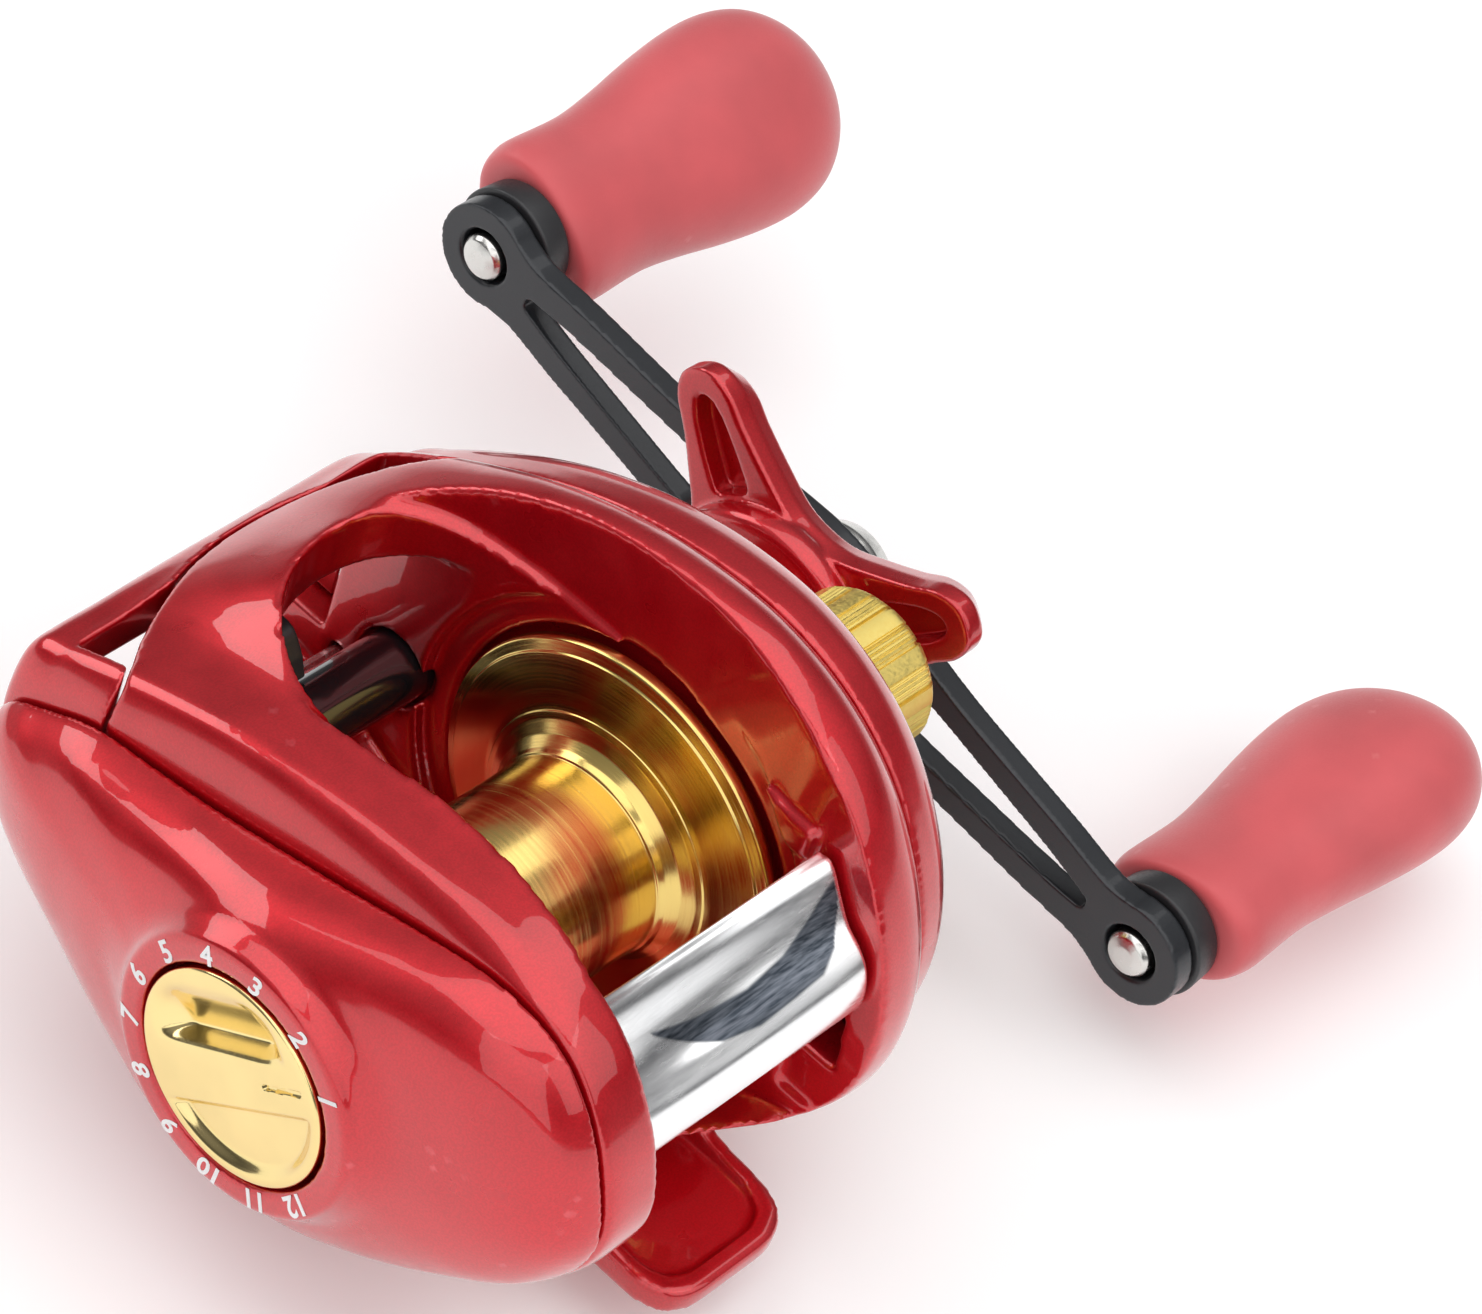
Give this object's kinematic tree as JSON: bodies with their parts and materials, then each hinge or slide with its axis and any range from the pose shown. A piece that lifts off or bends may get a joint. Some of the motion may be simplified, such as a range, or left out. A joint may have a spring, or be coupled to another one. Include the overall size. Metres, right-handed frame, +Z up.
{
  "type": "baitcasting fishing reel",
  "caption": "Low-profile baitcasting reel with a level wind, thumb-bar spool release, lobed drag wheel, brake dial and a double-ended crank handle.",
  "frame": {"origin": "centre of the flat underside of the reel foot, where the rod's reel seat meets it", "axes": "+X along the spool axis towards the handle, +Y forward the way the line leaves, +Z up away from the rod"},
  "size_m": [0.1234, 0.0988, 0.0526],
  "materials": {
    "candy": "deep red metallic, clear coated",
    "gold": "gold anodised, bright",
    "chrome": "bright chrome",
    "steel": "brushed",
    "brass": "machined",
    "black": "satin black",
    "black_gloss": "gloss black",
    "anodised": "black anodised",
    "coral": "soft-touch coral red",
    "carbon": "woven fibre washer",
    "plastic": "moulded",
    "magnet": "nickel plated"
  },
  "bodies": {
    "housing": {"frame": "candy", "nose_cover": "candy", "left_side_plate": "candy", "right_side_plate": "candy", "level_wind_tube": "black_gloss", "guide_rod": "steel", "spool_bearing_left": "steel", "spool_bearing_right": "steel", "one_way_bearing": "steel", "yoke_spring_upper": "steel", "yoke_spring_lower": "steel"},
    "spool_group": {"spool": "gold", "spool_shaft": "steel", "spool_drive_pin": "steel"},
    "handle_group": {"drive_shaft": "steel", "main_gear": "brass", "idle_drive_gear": "plastic", "drag_washer_carbon": "carbon", "drag_pressure_washer": "steel", "spring_washer_1": "steel", "spring_washer_2": "steel", "handle_arm": "anodised", "handle_nut": "steel", "knob_pin_1": "steel", "knob_pin_2": "steel", "knob_collar_1": "black", "knob_collar_2": "black"},
    "star_group": {"star_drag": "candy", "star_nut": "brass"},
    "knob_1": {"handle_knob_1": "coral"},
    "knob_2": {"handle_knob_2": "coral"},
    "yoke_group": {"clutch_yoke": "plastic"},
    "pinion_group": {"pinion_gear": "brass"},
    "cam_group": {"clutch_cam": "plastic"},
    "thumb_group": {"thumb_bar": "chrome", "clutch_lever": "steel", "clutch_bar_tab": "steel"},
    "worm_group": {"worm_shaft": "steel", "worm_gear": "plastic"},
    "guide_group": {"line_guide": "black", "line_guide_pawl": "steel"},
    "dial_group": {"brake_dial": "gold"},
    "carrier_group": {"magnet_carrier": "black", "brake_magnet_1": "magnet", "brake_magnet_2": "magnet", "brake_magnet_3": "magnet", "brake_magnet_4": "magnet"},
    "cast_group": {"cast_control_knob": "gold", "tension_shim": "steel"}
  },
  "joints": [
    {"name": "handle_spin", "type": "hinge", "parent": "housing", "child": "handle_group", "pos_m": [0.0262, 0.012, 0.0133], "axis": [1, 0, 0], "continuous": true},
    {"name": "star_turn", "type": "hinge", "parent": "handle_group", "child": "star_group", "pos_m": [0.0442, 0.012, 0.0133], "axis": [1, 0, 0], "range_deg": [-180, 180]},
    {"name": "knob_1_spin", "type": "hinge", "parent": "handle_group", "child": "knob_1", "pos_m": [0.0562, 0.05209, 0.0203], "axis": [1, 0, 0], "continuous": true},
    {"name": "knob_2_spin", "type": "hinge", "parent": "handle_group", "child": "knob_2", "pos_m": [0.0562, -0.02809, 0.0063], "axis": [1, 0, 0], "continuous": true},
    {"name": "spool_spin", "type": "hinge", "parent": "housing", "child": "spool_group", "pos_m": [-0.0038, 0, 0.021], "axis": [1, 0, 0], "continuous": true},
    {"name": "thumb_press", "type": "slide", "parent": "housing", "child": "thumb_group", "axis": [0, -0.3, -0.9539], "range_m": [0, 0.0035]},
    {"name": "yoke_slide", "type": "slide", "parent": "housing", "child": "yoke_group", "axis": [1, 0, 0], "range_m": [0, 0.0015], "deforming": ["yoke_spring_upper", "yoke_spring_lower"]},
    {"name": "pinion_spin", "type": "hinge", "parent": "yoke_group", "child": "pinion_group", "pos_m": [0.0162, 0, 0.021], "axis": [1, 0, 0], "continuous": true},
    {"name": "cam_turn", "type": "hinge", "parent": "housing", "child": "cam_group", "pos_m": [0.0142, 0, 0.021], "axis": [1, 0, 0], "range_deg": [0, 31]},
    {"name": "worm_spin", "type": "hinge", "parent": "housing", "child": "worm_group", "pos_m": [-0.0038, 0.02341, 0.01912], "axis": [1, 0, 0], "continuous": true},
    {"name": "line_guide_slide", "type": "slide", "parent": "housing", "child": "guide_group", "axis": [1, 0, 0], "range_m": [-0.0085, 0.0085]},
    {"name": "brake_dial_turn", "type": "hinge", "parent": "housing", "child": "dial_group", "pos_m": [-0.0318, 0, 0.021], "axis": [1, 0, 0], "range_deg": [0, 300]},
    {"name": "carrier_slide", "type": "slide", "parent": "housing", "child": "carrier_group", "axis": [1, 0, 0], "range_m": [0, 0.0027]},
    {"name": "cast_knob_turn", "type": "hinge", "parent": "housing", "child": "cast_group", "pos_m": [0.0362, 0, 0.021], "axis": [1, 0, 0], "range_deg": [-180, 180]}
  ],
  "couplings": [
    {"joint": "spool_spin", "follows": "handle_spin", "ratio": -7.2},
    {"joint": "pinion_spin", "follows": "handle_spin", "ratio": -7.2},
    {"joint": "worm_spin", "follows": "handle_spin", "ratio": -1.2857},
    {"joint": "yoke_slide", "follows": "thumb_press", "ratio": 0.4281},
    {"joint": "cam_turn", "follows": "thumb_press", "rad_per_m": 149.6},
    {"joint": "carrier_slide", "follows": "brake_dial_turn", "m_per_rad": 0.0004966}
  ]
}
